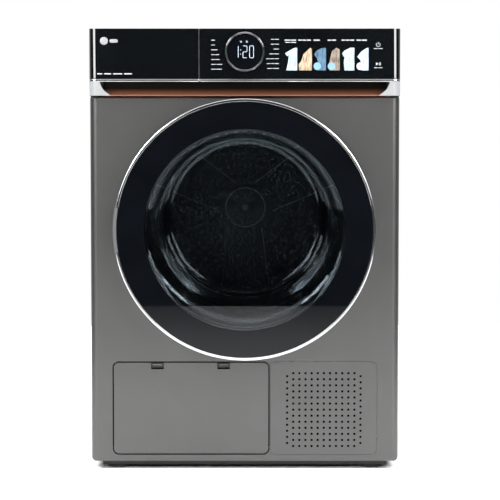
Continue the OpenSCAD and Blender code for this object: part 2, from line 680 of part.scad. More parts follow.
// The lid over the exchangers, the air way beside them and the fan's scroll are one moulding.
module air_housing() color("gray") {
    difference() {
        union() {
            rod_y(fan_r + 5, fan_y - 3, fan_y + 60, motor_x, motor_z);
            block([duct_x[1], fan_y - 3, base_z + 3], [motor_x, fan_y + 60, motor_z - 20]);
            block([duct_x[1], fan_y - 3, base_z + 3], [duct_x[1] + 3, fan_y + 60, duct_top + 3]);
        }
        rod_y(fan_r + 2, fan_y, fan_y + 57, motor_x, motor_z);
        block([duct_x[1] - 1, fan_y, base_z + 6], [motor_x, fan_y + 57, motor_z - 23]);
        rod_y(8, fan_y + 50, fan_y + 61, motor_x, motor_z);
    }
    block([duct_x[0], cover_y + bay_wall, duct_top], [duct_x[1] + 0.1, duct_back_y, duct_top + 3]);
}

// ---- heat pump in the base ----

module fin_pack(y0, depth) {
    count = 12;
    for (i = [0:count - 1]) block([duct_x[0] + 14, y0 + i * depth / count, base_z + 6],
        [duct_x[1] - 14, y0 + (i + 0.2) * depth / count, duct_top - 8]);
    for (z = [50, 80, 110, 140])
        block([duct_x[0] + 18, y0, z], [duct_x[0] + 26, y0 + depth * (count - 1) / count + 1, z + 8]);
}
module heat_exchangers() color("silver") {
    fin_pack(cover_y + 15, 110);
    fin_pack(cover_y + 145, 140);
    block([duct_x[0] + 20, cover_y + 110, 60], [duct_x[0] + 24, cover_y + 150, 64]);
    for (z = [90, 130]) rod_y(4, cover_y + 270, 194, 20, z);
    pipe_paths(4);
}

// The cover in the filter bay that closes the way to the exchangers.
module exchanger_cover() color("darkslategray") {
    difference() {
        block([duct_x[0] + 18, cover_y - 8, 34], [duct_x[1] - 6, cover_y - 0.2, duct_top + 2]);
        for (i = [0:4]) block([-160, cover_y - 9, 60 + 18 * i], [-60, cover_y - 5, 66 + 18 * i]);
    }
    for (x = lever_x) rod_y(3, cover_y - 16, cover_y - 7, x, lever_z);
}
module cover_lever(x) color("royalblue") difference() {
    slab(cover_y - 17, cover_y - 8.5) union() {
        translate([x, lever_z]) circle(11);
        polygon(rounded(x - 8, lever_z - 30, x + 8, lever_z + 30, 7));
    }
    rod_y(3 + TOUCH, cover_y - 16, cover_y - 8, x, lever_z);
}
module cover_lever_left() cover_lever(lever_x[0]);
module cover_lever_right() cover_lever(lever_x[1]);

// The compressor's shell, with the gas space inside it.
module compressor() color("black") translate([200, 185, base_z]) difference() {
    union() {
        for (a = [30, 150, 270]) rod_z(9, 3, 18, 48 * cos(a), 48 * sin(a));
        rod_z(60, 18, 22, 0, 0);
        rod_z(54, 22, 172, 0, 0);
        translate([0, 0, 172]) cylinder(r1 = 54, r2 = 38, h = 12);
        rod_z(5, 183, 202, 20, 0);
    }
    rod_z(40, 30, 168, 0, 0);
}

// Pump in the sump, its outlet in the rear sheet, and its riser to the water tank.
module drain_pump() color("dimgray") difference() {
    union() {
        rod_z(22, base_z + 3, base_z + 45, 205, rear_y - 40);
        rod_z(spout_r, base_z + 40, outlet_z, drain_x, rear_y - 27);
        rod_y(spout_r, rear_y - 27, rear_y, drain_x, outlet_z);
        rod_y(spout_r + 1, rear_y - sheet, rear_y + rear_proud, drain_x, outlet_z);
        translate([drain_x, rear_y - 27, outlet_z]) sphere(spout_r + 1.5);
        rod_z(hose_r, base_z + 40, inlet_z, 196, rear_y - 42);
        rod_x(hose_r, inlet_x, 196, rear_y - 42, inlet_z);
        rod_y(hose_r, tank_y[1] + 12, rear_y - 42, inlet_x, inlet_z);
        for (x = [inlet_x, 196]) translate([x, rear_y - 42, inlet_z]) sphere(hose_r + 1.5);
    }
    rod_y(spout_r - 2, rear_y - 27, rear_y + rear_proud + 1, drain_x, outlet_z);
    rod_y(hose_r - 2, tank_y[1] + 11, rear_y - 42, inlet_x, inlet_z);
}
module cable_gland() color("black") difference() {
    union() {
        rod_y(spout_r, rear_y - 12, rear_y + rear_proud, gland_x, outlet_z);
        rod_y(spout_r + 5, rear_y - sheet, rear_y + 4, gland_x, outlet_z);
    }
    rod_y(spout_r / 2, rear_y - 13, rear_y + rear_proud + 1, gland_x, outlet_z);
}

// ---- access flap ----

module flap_panel() color("slategray") {
    slab(face_y, face_y + 2) difference() {
        polygon(rounded(flap_x + flap_gap, flap_z + flap_gap,
            flap_x + flap_w - flap_gap, flap_z + flap_h - flap_gap, flap_r - flap_gap));
        for (x = latch_offsets) translate([flap_x + x - latch_half, flap_z + flap_h - 15])
            square([2 * latch_half, 20]);
    }
    slab(face_y + 1.9, face_y + 6) difference() {
        translate([flap_x + 8, 48]) square([flap_w - 16, 140]);
        translate([flap_x + 10, 50]) square([flap_w - 20, 136]);
    }
    for (x = latch_offsets) difference() {
        block([flap_x + x - latch_half - 2, face_y + 1.9, 187.5],
            [flap_x + x + latch_half + 2, bay_y - 0.5, flap_z + flap_h - flap_gap]);
        block([flap_x + x - latch_half, face_y + 1, 195],
            [flap_x + x + latch_half, bay_y - 2, flap_z + flap_h]);
    }
    for (x = lug_x) {
        block([x, face_y + 1.9, flap_axis_z - 4.6], [x + lug_w, flap_axis_y, flap_axis_z + 14]);
        rod_x(4.6, x, x + lug_w, flap_axis_y, flap_axis_z);
    }
    rod_x(flap_pin_r, lug_x[0] - 7, lug_x[0] + 5, flap_axis_y, flap_axis_z);
    rod_x(flap_pin_r, lug_x[1] + 5, lug_x[1] + lug_w + 7, flap_axis_y, flap_axis_z);
}

module flap_latch(offset) color("black") {
    block([flap_x + offset - latch_half + GAP, face_y + 1, 200.5],
        [flap_x + offset + latch_half - GAP, bay_y - 2.5, 207.5]);
    block([flap_x + offset - latch_half + GAP, face_y + 0.2, 200.5],
        [flap_x + offset + latch_half - GAP, face_y + 1.2, 202.5]);
}
module flap_latch_left() flap_latch(latch_offsets[0]);
module flap_latch_right() flap_latch(latch_offsets[1]);

base_frame();
front_panel();
vent_grille();
side_panel_left();
side_panel_right();
rear_panel();
rear_duct_cover();
worktop_frame();
worktop_board();
fascia_panel();
fascia_strip();
grip_trough();
grip_end_caps();
display_module();
control_board();
dial_ring();
drawer_front();
drawer_strip();
water_tank();
tank_shelf();
door_ring();
door_handle();
door_glass();
door_mask_frame();
door_bowl();
door_inner_frame();
door_hinge_block();
door_hinge_pin();
door_hook();
hinge_bracket();
door_latch();
door_seal();
front_bulkhead();
lint_filter();
drum_shell();
drum_back();
drum_lifters();
drum_seals();
drum_bearing();
rear_bulkhead();
roller_left();
roller_right();
drive_belt();
motor();
motor_rotor();
air_housing();
heat_exchangers();
compressor();
drain_pump();
cable_gland();
exchanger_cover();
cover_lever_left();
cover_lever_right();
flap_panel();
flap_latch_left();
flap_latch_right();
foot_front_left();
foot_front_right();
foot_rear_left();
foot_rear_right();
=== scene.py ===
import json
from math import cos, pi, radians, sin, sqrt

import bmesh
import bpy
from mathutils import Matrix, Vector


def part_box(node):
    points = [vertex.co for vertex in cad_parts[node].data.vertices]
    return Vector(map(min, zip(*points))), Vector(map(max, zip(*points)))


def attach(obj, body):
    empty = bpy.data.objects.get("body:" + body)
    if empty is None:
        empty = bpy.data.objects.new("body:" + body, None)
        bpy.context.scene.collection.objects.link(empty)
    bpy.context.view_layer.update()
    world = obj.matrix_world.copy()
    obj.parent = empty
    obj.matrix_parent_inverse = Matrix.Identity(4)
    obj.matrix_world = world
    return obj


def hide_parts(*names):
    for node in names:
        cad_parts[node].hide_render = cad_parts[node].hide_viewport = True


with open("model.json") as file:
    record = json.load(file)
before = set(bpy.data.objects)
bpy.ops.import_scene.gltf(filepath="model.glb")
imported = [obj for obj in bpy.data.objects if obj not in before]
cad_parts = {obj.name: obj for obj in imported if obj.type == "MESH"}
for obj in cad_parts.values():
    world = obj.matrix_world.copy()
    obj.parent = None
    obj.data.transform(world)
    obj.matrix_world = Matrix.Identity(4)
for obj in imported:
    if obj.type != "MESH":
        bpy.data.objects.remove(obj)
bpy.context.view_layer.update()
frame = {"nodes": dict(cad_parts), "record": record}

NODES = frame["nodes"]
MM = 0.001

# ---- places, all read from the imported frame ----

PANEL_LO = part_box("fascia_panel")[0]
DISPLAY_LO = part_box("display_module")[0]
BACK_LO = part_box("drum_back")[0]
COVER_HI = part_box("rear_duct_cover")[1]
FRAME_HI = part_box("door_inner_frame")[1]
TROUGH_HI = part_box("grip_trough")[1]
DRAWER_LO, DRAWER_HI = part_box("drawer_front")
GLASS_LO, GLASS_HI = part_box("door_glass")
DIAL_LO, DIAL_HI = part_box("dial_ring")
BOWL_LO, BOWL_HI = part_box("door_bowl")
DRUM_LO, DRUM_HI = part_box("drum_shell")
TANK_LO, TANK_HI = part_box("water_tank")
REAR_LO, REAR_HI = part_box("rear_panel")
FLAP_LO, FLAP_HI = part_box("flap_panel")
VENT_LO, VENT_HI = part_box("vent_grille")

DOOR_Z = (GLASS_LO.z + GLASS_HI.z) / 2
DRUM_Z = (DRUM_LO.z + DRUM_HI.z) / 2
DIAL_Z = (DIAL_LO.z + DIAL_HI.z) / 2
PRINT = 0.1 * MM            # height of the print on the glossy panel
WINDOW_R = 192 * MM         # radius of the door glass that is clear
COLUMN_PITCH = 9.2 * MM     # between the programme labels beside the ring
KEY_X = 254.5 * MM          # middle of the two touch keys
PICTURE_HEIGHT = 43 * MM    # height of the garment pictures, whose left edges follow
PICTURE_X = [x * MM for x in (77, 103, 132, 159, 185.5, 214)]
DIGIT_SIZE = (7.6 * MM, 22.5 * MM)
FLOOR_HALF_WIDTH = 1.7
FLOOR_FRONT = -3.7          # the floor ends here, in front of the camera
FLOOR_BACK = 2.4
GLOW = 0.5                  # brightest glow of the far floor


# ---- mesh helpers ----

def arc(cx, cz, r, start, end, steps=8):
    """Points of an arc; angles in degrees, counter-clockwise from +x."""
    return [(cx + r * cos(radians(start + (end - start) * i / steps)),
             cz + r * sin(radians(start + (end - start) * i / steps))) for i in range(steps + 1)]


def rounded(x0, z0, x1, z1, r, steps=6):
    """Outline of a rectangle with round corners."""
    return (arc(x1 - r, z0 + r, r, -90, 0, steps) + arc(x1 - r, z1 - r, r, 0, 90, steps)
            + arc(x0 + r, z1 - r, r, 90, 180, steps) + arc(x0 + r, z0 + r, r, 180, 270, steps))


def piece(name, bm, material, body, smooth=35):
    """Turns a bmesh into an object that rides on a body, smooth except over sharp edges."""
    bmesh.ops.recalc_face_normals(bm, faces=bm.faces)
    mesh = bpy.data.meshes.new(name)
    bm.to_mesh(mesh)
    bm.free()
    mesh.materials.append(material)
    mesh.polygons.foreach_set("use_smooth", [True] * len(mesh.polygons))
    mesh.set_sharp_from_angle(angle=radians(smooth))
    obj = bpy.data.objects.new(name, mesh)
    bpy.context.scene.collection.objects.link(obj)
    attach(obj, body)
    return obj


def prism(bm, outline, y0, y1):
    """An outline in x and z, made solid from y0 to y1."""
    front = [bm.verts.new((x, y0, z)) for x, z in outline]
    back = [bm.verts.new((x, y1, z)) for x, z in outline]
    bm.faces.new(front)
    bm.faces.new(back[::-1])
    for i, v in enumerate(front):
        j = (i + 1) % len(front)
        bm.faces.new((v, back[i], back[j], front[j]))


def frame_prism(bm, outer, inner, y0, y1):
    """A ring between two outlines that have the same number of points."""
    loops = [[bm.verts.new((x, y, z)) for x, z in line]
             for line, y in ((outer, y0), (inner, y0), (inner, y1), (outer, y1))]
    bridge(bm, loops + loops[:1])


def bridge(bm, loops, closed=True):
    """Quads between loops of the same length."""
    for a, b in zip(loops, loops[1:]):
        count = len(a)
        for i in range(count if closed else count - 1):
            j = (i + 1) % count
            bm.faces.new((a[i], a[j], b[j], b[i]))


def turned(bm, profile, x=0.0, z=0.0, steps=128, start=0.0, sweep=360.0):
    """A closed profile of (radius, y) points turned round a line along Y."""
    full = sweep >= 360
    count = steps if full else steps + 1
    loops = []
    for r, y in profile:
        turns = [radians(start + sweep * i / steps) for i in range(count)]
        loops.append([bm.verts.new((x + r * cos(a), y, z + r * sin(a))) for a in turns])
    bridge(bm, loops + loops[:1], closed=full)
    if not full:
        bm.faces.new([loop[0] for loop in loops])
        bm.faces.new([loop[-1] for loop in loops][::-1])


def block(bm, lo, hi, bevel=0.0, steps=2):
    """A box with rounded edges."""
    size = Vector(hi) - Vector(lo)
    middle = (Vector(hi) + Vector(lo)) / 2
    made = bmesh.ops.create_cube(bm, matrix=Matrix.Translation(middle) @ Matrix.Diagonal((*size, 1)))
    if bevel:
        edges = list({e for v in made["verts"] for e in v.link_edges})
        bmesh.ops.bevel(bm, geom=edges, offset=bevel, segments=steps, profile=0.5, affect="EDGES")


def screw(bm, at, normal, r=4 * MM):
    """A pan head screw with a six-lobed recess; the rows are radius, height and lobed or not."""
    turn = Vector((0, 0, 1)).rotation_difference(Vector(normal)).to_matrix()
    rows = [(r, 0, 0), (r, 0.25, 0), (r * 0.86, 0.42, 0), (r * 0.52, 0.5, 1), (r * 0.45, 0.12, 1)]
    loops = []
    steps = 24
    for radius, up, lobed in rows:
        ring = []
        for i in range(steps):
            a = 2 * pi * i / steps
            near = radius * (1 - 0.14 * lobed * (0.5 - 0.5 * cos(6 * a)))
            spot = Vector((near * cos(a), near * sin(a), up * r))
            ring.append(bm.verts.new(Vector(at) + turn @ spot))
        loops.append(ring)
    bridge(bm, loops)
    bm.faces.new(loops[0][::-1])
    bm.faces.new(loops[-1])


# ---- materials ----

def noise(tree, coords, scale, detail=2.0, stretch=None):
    """Noise over the object's own coordinates, stretched along its axes where asked."""
    node = tree.nodes.new("ShaderNodeTexNoise")
    node.inputs["Scale"].default_value = scale
    node.inputs["Detail"].default_value = detail
    source = coords.outputs["Object"]
    if stretch:
        mapping = tree.nodes.new("ShaderNodeMapping")
        mapping.inputs["Scale"].default_value = stretch
        tree.links.new(source, mapping.inputs["Vector"])
        source = mapping.outputs["Vector"]
    tree.links.new(source, node.inputs["Vector"])
    return node.outputs["Fac"]


def ramp(tree, source, low, high, start=0.35, end=0.65):
    """Turns a value into a colour between two others."""
    node = tree.nodes.new("ShaderNodeValToRGB")
    node.color_ramp.elements[0].position = start
    node.color_ramp.elements[1].position = end
    node.color_ramp.elements[0].color = (*low, 1)
    node.color_ramp.elements[1].color = (*high, 1)
    tree.links.new(source, node.inputs["Fac"])
    return node.outputs["Color"]


def spread(tree, source, low, high):
    """Stretches the middle of a noise to a range."""
    node = tree.nodes.new("ShaderNodeMapRange")
    for name, value in (("From Min", 0.3), ("From Max", 0.7), ("To Min", low), ("To Max", high)):
        node.inputs[name].default_value = value
    tree.links.new(source, node.inputs["Value"])
    return node.outputs["Result"]


def finish(name, colour, rough, metal=0.0, vary=0.06, patch=9.0, grain=0.0, grain_scale=1500.0,
           stretch=None, depth=0.02 * MM, **fixed):
    """A surface whose colour drifts in soft patches, with grain in its roughness and its height."""
    material = bpy.data.materials.new(name)
    material.use_nodes = True
    tree = material.node_tree
    shader = tree.nodes["Principled BSDF"]
    shader.inputs["Metallic"].default_value = metal
    for socket, value in fixed.items():
        shader.inputs[socket.replace("_", " ")].default_value = value
    coords = tree.nodes.new("ShaderNodeTexCoord")
    dark = [c * (1 - vary) for c in colour]
    light = [min(1.0, c * (1 + vary)) for c in colour]
    patches = noise(tree, coords, patch, 3.0, stretch)
    tree.links.new(ramp(tree, patches, dark, light), shader.inputs["Base Color"])
    fine = noise(tree, coords, grain_scale, 2.0, stretch)
    roughness = spread(tree, fine, max(0.0, rough * 0.85), min(1.0, rough * 1.15))
    tree.links.new(roughness, shader.inputs["Roughness"])
    if grain:
        bump = tree.nodes.new("ShaderNodeBump")
        bump.inputs["Strength"].default_value = grain
        bump.inputs["Distance"].default_value = depth
        tree.links.new(fine, bump.inputs["Height"])
        tree.links.new(bump.outputs["Normal"], shader.inputs["Normal"])
    return material


def drum_steel():
    """Stainless sheet with pressed dimples in staggered rows."""
    material = finish("drum_steel", (0.15, 0.15, 0.155), 0.3, 1.0, vary=0.04, patch=5, grain_scale=300)
    tree = material.node_tree
    coords = tree.nodes["Texture Coordinate"]
    cells = tree.nodes.new("ShaderNodeTexVoronoi")
    cells.inputs["Scale"].default_value = 32
    cells.inputs["Randomness"].default_value = 0.0
    tree.links.new(coords.outputs["Object"], cells.inputs["Vector"])
    bump = tree.nodes.new("ShaderNodeBump")
    bump.inputs["Strength"].default_value = 0.25
    bump.inputs["Distance"].default_value = 0.8 * MM
    tree.links.new(spread(tree, cells.outputs["Distance"], 0.0, 1.0), bump.inputs["Height"])
    tree.links.new(bump.outputs["Normal"], tree.nodes["Principled BSDF"].inputs["Normal"])
    return material


def copper():
    """Brushed copper with painted shade: its colour darkens to near black towards the top of the trough,
    where the panel above shades it.
    """
    material = finish("copper_trim", (0.33, 0.135, 0.078), 0.34, 0.7, vary=0.02, patch=3)
    tree = material.node_tree
    shader = tree.nodes["Principled BSDF"]
    unshaded_copper = shader.inputs["Base Color"].links[0].from_socket
    # Painted shade: near black over the top 12 mm of the trough, fading to plain copper 20 mm below the
    # top.
    height = tree.nodes.new("ShaderNodeSeparateXYZ")
    tree.links.new(tree.nodes["Texture Coordinate"].outputs["Object"], height.inputs["Vector"])
    level = tree.nodes.new("ShaderNodeMapRange")
    for name, value in (("From Min", TROUGH_HI.z - 20 * MM), ("From Max", TROUGH_HI.z - 12 * MM)):
        level.inputs[name].default_value = value
    tree.links.new(height.outputs["Z"], level.inputs["Value"])
    mix = tree.nodes.new("ShaderNodeMix")
    mix.data_type = "RGBA"
    tree.links.new(level.outputs["Result"], mix.inputs["Factor"])
    tree.links.new(unshaded_copper, mix.inputs[6])
    mix.inputs[7].default_value = (0.014, 0.011, 0.008, 1)
    tree.links.new(mix.outputs[2], shader.inputs["Base Color"])
    return material


def light_print(name, colour, strength):
    """Back-lit print: a faint glow that varies a little."""
    material = finish(name, colour, 0.4, vary=0.03)
    shader = material.node_tree.nodes["Principled BSDF"]
    shader.inputs["Emission Color"].default_value = (*colour, 1)
    shader.inputs["Emission Strength"].default_value = strength
    return material


def cloth_print(name, light, shade):
    """A printed picture of cloth, with soft folds that run down it."""
    material = finish(name, light, 0.35)
    tree = material.node_tree
    shader = tree.nodes["Principled BSDF"]
    coords = tree.nodes["Texture Coordinate"]
    folds = noise(tree, coords, 60, 4.0, (9, 1, 1.6))
    colour = ramp(tree, folds, shade, light, 0.36, 0.56)
    tree.links.new(colour, shader.inputs["Base Color"])
    tree.links.new(colour, shader.inputs["Emission Color"])
    shader.inputs["Emission Strength"].default_value = 0.06
    return material


LOOKS = {
    "cabinet_paint": dict(colour=(0.091, 0.09, 0.089), rough=0.36, metal=0.88, vary=0.03, grain=0.25,
                          grain_scale=2600, Coat_Weight=0.4, Coat_Roughness=0.2),
    "rear_sheet": dict(colour=(0.34, 0.35, 0.36), rough=0.42, metal=0.9, vary=0.03, patch=5, grain=0.2,
                       grain_scale=900),
    "base_plastic": dict(colour=(0.022, 0.022, 0.024), rough=0.6, grain=0.5, grain_scale=1800),
    "panel_gloss": dict(colour=(0.002, 0.0026, 0.0032), rough=0.04, vary=0.2, IOR=2.1),
    "bright_trim": dict(colour=(0.57, 0.575, 0.58), rough=0.14, metal=1.0, vary=0.02),
    "cap_grey": dict(colour=(0.24, 0.245, 0.249), rough=0.32, vary=0.03, grain=0.1),
    "display_black": dict(colour=(0.002, 0.0025, 0.0035), rough=0.02, vary=0.2, IOR=1.34),
    "circuit_board": dict(colour=(0.02, 0.13, 0.06), rough=0.4, vary=0.25, patch=120, grain=0.3),
    "worktop_rim": dict(colour=(0.075, 0.077, 0.08), rough=0.45, grain=0.5),
    "worktop_laminate": dict(colour=(0.1, 0.1, 0.104), rough=0.62, vary=0.12, patch=140, grain=0.6,
                             grain_scale=700, Specular_IOR_Level=0.3),
    "tank_plastic": dict(colour=(0.2, 0.23, 0.26), rough=0.4, vary=0.05, grain=0.25,
                         Transmission_Weight=0.3),
    "shelf_plastic": dict(colour=(0.26, 0.26, 0.27), rough=0.5, grain=0.4),
    "handle_grey": dict(colour=(0.075, 0.077, 0.08), rough=0.36, grain=0.3),
    "door_glass": dict(colour=(0.49, 0.53, 0.56), rough=0.0, vary=0.02, Transmission_Weight=1.0, IOR=1.5),
    "door_black": dict(colour=(0.004, 0.004, 0.005), rough=0.3, vary=0.2),
    "bowl_glass": dict(colour=(0.8, 0.87, 0.89), rough=0.0, vary=0.02, Transmission_Weight=1.0, IOR=1.62),
    "inner_plastic": dict(colour=(0.13, 0.135, 0.14), rough=0.5, grain=0.5),
    "hinge_metal": dict(colour=(0.6, 0.6, 0.62), rough=0.38, metal=1.0, grain=0.3, grain_scale=600),
    "bright_steel": dict(colour=(0.6, 0.6, 0.61), rough=0.22, metal=1.0, stretch=(1, 1, 14),
                         grain_scale=300),
    "black_plastic": dict(colour=(0.008, 0.008, 0.009), rough=0.5, grain=0.4, Specular_IOR_Level=0.25),
    "seal_rubber": dict(colour=(0.06, 0.06, 0.065), rough=0.7, grain=0.5, grain_scale=900),
    "filter_plastic": dict(colour=(0.5, 0.53, 0.56), rough=0.45, grain=0.3),
    "lifter_plastic": dict(colour=(0.22, 0.23, 0.24), rough=0.45, grain=0.4),
    "felt": dict(colour=(0.55, 0.5, 0.4), rough=0.95, vary=0.2, patch=300, grain=1.0, grain_scale=700,
                 depth=0.4 * MM),
    "bronze": dict(colour=(0.5, 0.33, 0.14), rough=0.4, metal=1.0, grain=0.3),
    "bare_steel": dict(colour=(0.5, 0.51, 0.52), rough=0.38, metal=1.0, vary=0.12, patch=60, grain=0.2,
                       grain_scale=400),
    "black_rubber": dict(colour=(0.018, 0.018, 0.018), rough=0.75, grain=0.6, grain_scale=900),
    "motor_case": dict(colour=(0.42, 0.42, 0.43), rough=0.42, metal=0.9, grain=0.4, grain_scale=500),
    "fin_metal": dict(colour=(0.68, 0.68, 0.69), rough=0.3, metal=1.0, stretch=(1, 1, 20),
                      grain_scale=400),
    "compressor_black": dict(colour=(0.016, 0.016, 0.018), rough=0.32, grain=0.3, Coat_Weight=0.4),
    "lever_blue": dict(colour=(0.04, 0.13, 0.36), rough=0.35, grain=0.2),
}
# One material for each material slot of the record.
MATERIAL = {name: finish(name, **look) for name, look in LOOKS.items()}
MATERIAL["copper_trim"] = copper()
MATERIAL["drum_steel"] = drum_steel()
LABEL = light_print("label_print", (0.36, 0.38, 0.4), 0.12)
DIGITS = light_print("digit_light", (0.42, 0.49, 0.6), 0.22)
DIAL_METAL = finish("dial_metal", (0.27, 0.27, 0.275), 0.25, 1.0, vary=0.02)
# Painted shade: a near-black, almost unreflecting material for linings put where there is only shade.
PAINTED_SHADE = finish("painted_shade_black", (0.0015, 0.0015, 0.0015), 0.7, grain=0.2, Specular_IOR_Level=0.05)

# Nodes whose edges are softened by this many millimetres.
ROUNDED = {"fascia_strip": 1.4, "drawer_strip": 1.4, "worktop_frame": 1.5, "door_handle": 0.8}


def dress_nodes():
    """Every CAD node takes its slot's material, and soft shading across its rounded edges."""
    slots = {part["node"]: part["material_slot"] for part in frame["record"]["subparts"]}
    for name, node in NODES.items():
        mesh = node.data
        mesh.materials.clear()
        mesh.materials.append(DIAL_METAL if name == "dial_ring" else MATERIAL[slots[name]])
        mesh.polygons.foreach_set("material_index", [0] * len(mesh.polygons))
        mesh.polygons.foreach_set("use_smooth", [True] * len(mesh.polygons))
        custom = mesh.attributes.get("custom_normal")
        if custom:
            mesh.attributes.remove(custom)
        weld = node.modifiers.new("weld", "WELD")
        weld.merge_threshold = 0.002 * MM
        if name in ROUNDED:
            bevel = node.modifiers.new("round", "BEVEL")
            bevel.width = ROUNDED[name] * MM
            bevel.segments = 3
            bevel.angle_limit = radians(50)
        split = node.modifiers.new("split", "EDGE_SPLIT")
        split.split_angle = radians(32)
        node.modifiers.new("even", "WEIGHTED_NORMAL").weight = 80


# ---- cabinet ----

def latch_shade_linings():
    """Near-black linings that paint the shade in the two finger holes of the flap, and the latches' grey
    tabs.
    """
    for name in ("flap_latch_left", "flap_latch_right"):
        lo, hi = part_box(name)
        x = (lo.x + hi.x) / 2
        # Painted shade: thin near-black sheets line the pocket's floor, back and sides.
        bm = bmesh.new()
        half, lining, edge = 11.8 * MM, 0.4 * MM, 0.1 * MM
        floor_z, top_z = lo.z - 5.3 * MM, FLAP_HI.z - 0.2 * MM
        floor_y, side_y, back_y = FLAP_LO.y + 0.6 * MM, FLAP_LO.y + 0.3 * MM, hi.y + 1.5 * MM
        block(bm, (x - half, floor_y, floor_z), (x + half, back_y, floor_z + lining), edge)
        block(bm, (x - half, back_y - lining, floor_z), (x + half, back_y, top_z), edge)
        for side in (-1, 1):
            x0, x1 = sorted((x + side * half, x + side * (half - lining)))
            block(bm, (x0, side_y, floor_z), (x1, back_y, top_z), edge)
        piece(name.replace("latch", "well"), bm, PAINTED_SHADE, "flap")
        bm = bmesh.new()
        tab, tab_front, tab_back = 9.4 * MM, FLAP_LO.y - 0.1 * MM, FLAP_LO.y + 1.1 * MM
        block(bm, (x - tab, tab_front, lo.z + 1.7 * MM), (x + tab, tab_back, lo.z + 4.6 * MM), 0.5 * MM)
        piece(name.replace("latch", "tab"), bm, MATERIAL["handle_grey"], name)


def vent_shade_sheet():
    """A near-black sheet right behind the vent holes: painted shade behind the holes."""
    bm = bmesh.new()
    side, end = 14 * MM, 10 * MM
    outline = rounded(VENT_LO.x + side, VENT_LO.z + end, VENT_HI.x - side, VENT_HI.z - end, 8 * MM)
    prism(bm, outline, VENT_HI.y + 1 * MM, VENT_HI.y + 1.6 * MM)
    piece("vent_shade_sheet", bm, PAINTED_SHADE, "root")


def rear_details():
    """Screws round the rear sheet and round its cover."""
    bm = bmesh.new()
    y = REAR_HI.y
    inset = 9 * MM
    steps = 4
    for i in range(steps + 1):
        z = REAR_LO.z + inset + i * (REAR_HI.z - REAR_LO.z - 2 * inset) / steps
        for x in (REAR_LO.x + inset, REAR_HI.x - inset):
            screw(bm, (x, y, z), (0, 1, 0))
    for i in range(1, steps):
        x = REAR_LO.x + i * (REAR_HI.x - REAR_LO.x) / steps
        screw(bm, (x, y, REAR_HI.z - inset), (0, 1, 0))
    piece("rear_screws", bm, MATERIAL["bright_steel"], "root")
    bm = bmesh.new()
    step_y = COVER_HI.y - 3 * MM
    r = 196 * MM
    screw_r = 3.5 * MM
    for i in range(8):
        a = radians(22.5 + 45 * i)
        screw(bm, (r * cos(a), step_y, DRUM_Z + r * sin(a)), (0, 1, 0), screw_r)
    piece("duct_cover_screws", bm, MATERIAL["bright_steel"], "root")


# ---- control panel ----

def bars(bm, rows, y, height=1.2 * MM):
    """Rows of print as short rounded bars, broken into words."""
    for x0, x1, z in rows:
        words = max(1, round((x1 - x0) / (9 * MM)))
        step = (x1 - x0) / words
        for i in range(words):
            a = x0 + i * step
            b = a + step - (1.2 * MM if i < words - 1 else 0)
            prism(bm, rounded(a, z - height / 2, b, z + height / 2, height * 0.3, 3), y, y + 2 * PRINT)


def label_columns():
    """Plain bars beside the selector ring, under the two keys and over the pictures."""
    y = PANEL_LO.y - PRINT
    bm = bmesh.new()
    left_edge, left_top = -64 * MM, DIAL_Z + 22 * MM
    right_edge, right_top = 65 * MM, DIAL_Z + 23.5 * MM
    left_widths = [7, 7, 12, 15, 16, 21, 20]
    right_widths = [15, 15, 10, 18, 24, 23, 22]
    rows = []
    for i, (left, right) in enumerate(zip(left_widths, right_widths)):
        rows.append((left_edge, left_edge + left * MM, left_top - i * COLUMN_PITCH))
        rows.append((right_edge - right * MM, right_edge, right_top - i * COLUMN_PITCH))
    key_half = 8.5 * MM
    rows.append((KEY_X - key_half, KEY_X + key_half, DIAL_Z + 6 * MM))
    rows.append((KEY_X - key_half + 1 * MM, KEY_X + key_half, DIAL_Z - 30.5 * MM))
    bars(bm, rows, y)
    caption_z, second_z = DIAL_Z + 22 * MM, DIAL_Z + 17.8 * MM
    caption_widths = [22, 24, 12, 16, 24, 20]
    for x, width in zip(PICTURE_X, caption_widths):
        bars(bm, [(x - 1 * MM, x + (width - 1) * MM, caption_z)], y, 2.2 * MM)
    bars(bm, [(PICTURE_X[0], PICTURE_X[0] + 21 * MM, second_z)], y, 1.4 * MM)
    piece("programme_labels", bm, LABEL, "root")


def key_symbols():
    """A power sign and a play and pause sign."""
    front, back = PANEL_LO.y - PRINT, PANEL_LO.y + PRINT
    x = KEY_X
    bm = bmesh.new()
    z = DIAL_Z + 13.5 * MM
    r, line = 4.2 * MM, 0.8 * MM
    outer = arc(x, z, r, 125, 415, 28)
    inner = arc(x, z, r - line, 415, 125, 28)
    prism(bm, outer + inner, front, back)
    stroke = rounded(x - line / 2, z, x + line / 2, z + r + 0.6 * MM, line * 0.4, 2)
    prism(bm, stroke, front, back)
    z = DIAL_Z - 23 * MM
    half = 3 * MM
    prism(bm, [(x - 4 * MM, z - half), (x + 0.6 * MM, z), (x - 4 * MM, z + half)], front, back)
    for bar_x in (x + 2.2 * MM, x + 4.4 * MM):
        outline = rounded(bar_x - 0.5 * MM, z - half, bar_x + 0.5 * MM, z + half, 0.3 * MM, 2)
        prism(bm, outline, front, back)
    piece("key_symbols", bm, LABEL, "root")


# Lit segments of each digit, counted clockwise from the top; 6 is the middle one.
SEGMENTS = {"0": "012345", "1": "12", "2": "01346"}


def digit(bm, text, x, z, width, height, y):
    """One seven-segment digit whose lower left corner is at x, z."""
    t = 0.95 * MM
    gap = 0.25 * MM
    half = height / 2
    spots = [(0, height, 1), (width, half, 0), (width, 0, 0), (0, 0, 1),
             (0, 0, 0), (0, half, 0), (0, half, 1)]
    for index in SEGMENTS[text]:
        dx, dz, flat = spots[int(index)]
        length = width if flat else half
        line = [(gap, 0), (gap + t / 2, -t / 2), (length - gap - t / 2, -t / 2),
                (length - gap, 0), (length - gap - t / 2, t / 2), (gap + t / 2, t / 2)]
        points = [(x + dx + a, z + dz + b) if flat else (x + dx - b, z + dz + a) for a, b in line]
        prism(bm, points, y, y + 2 * PRINT)


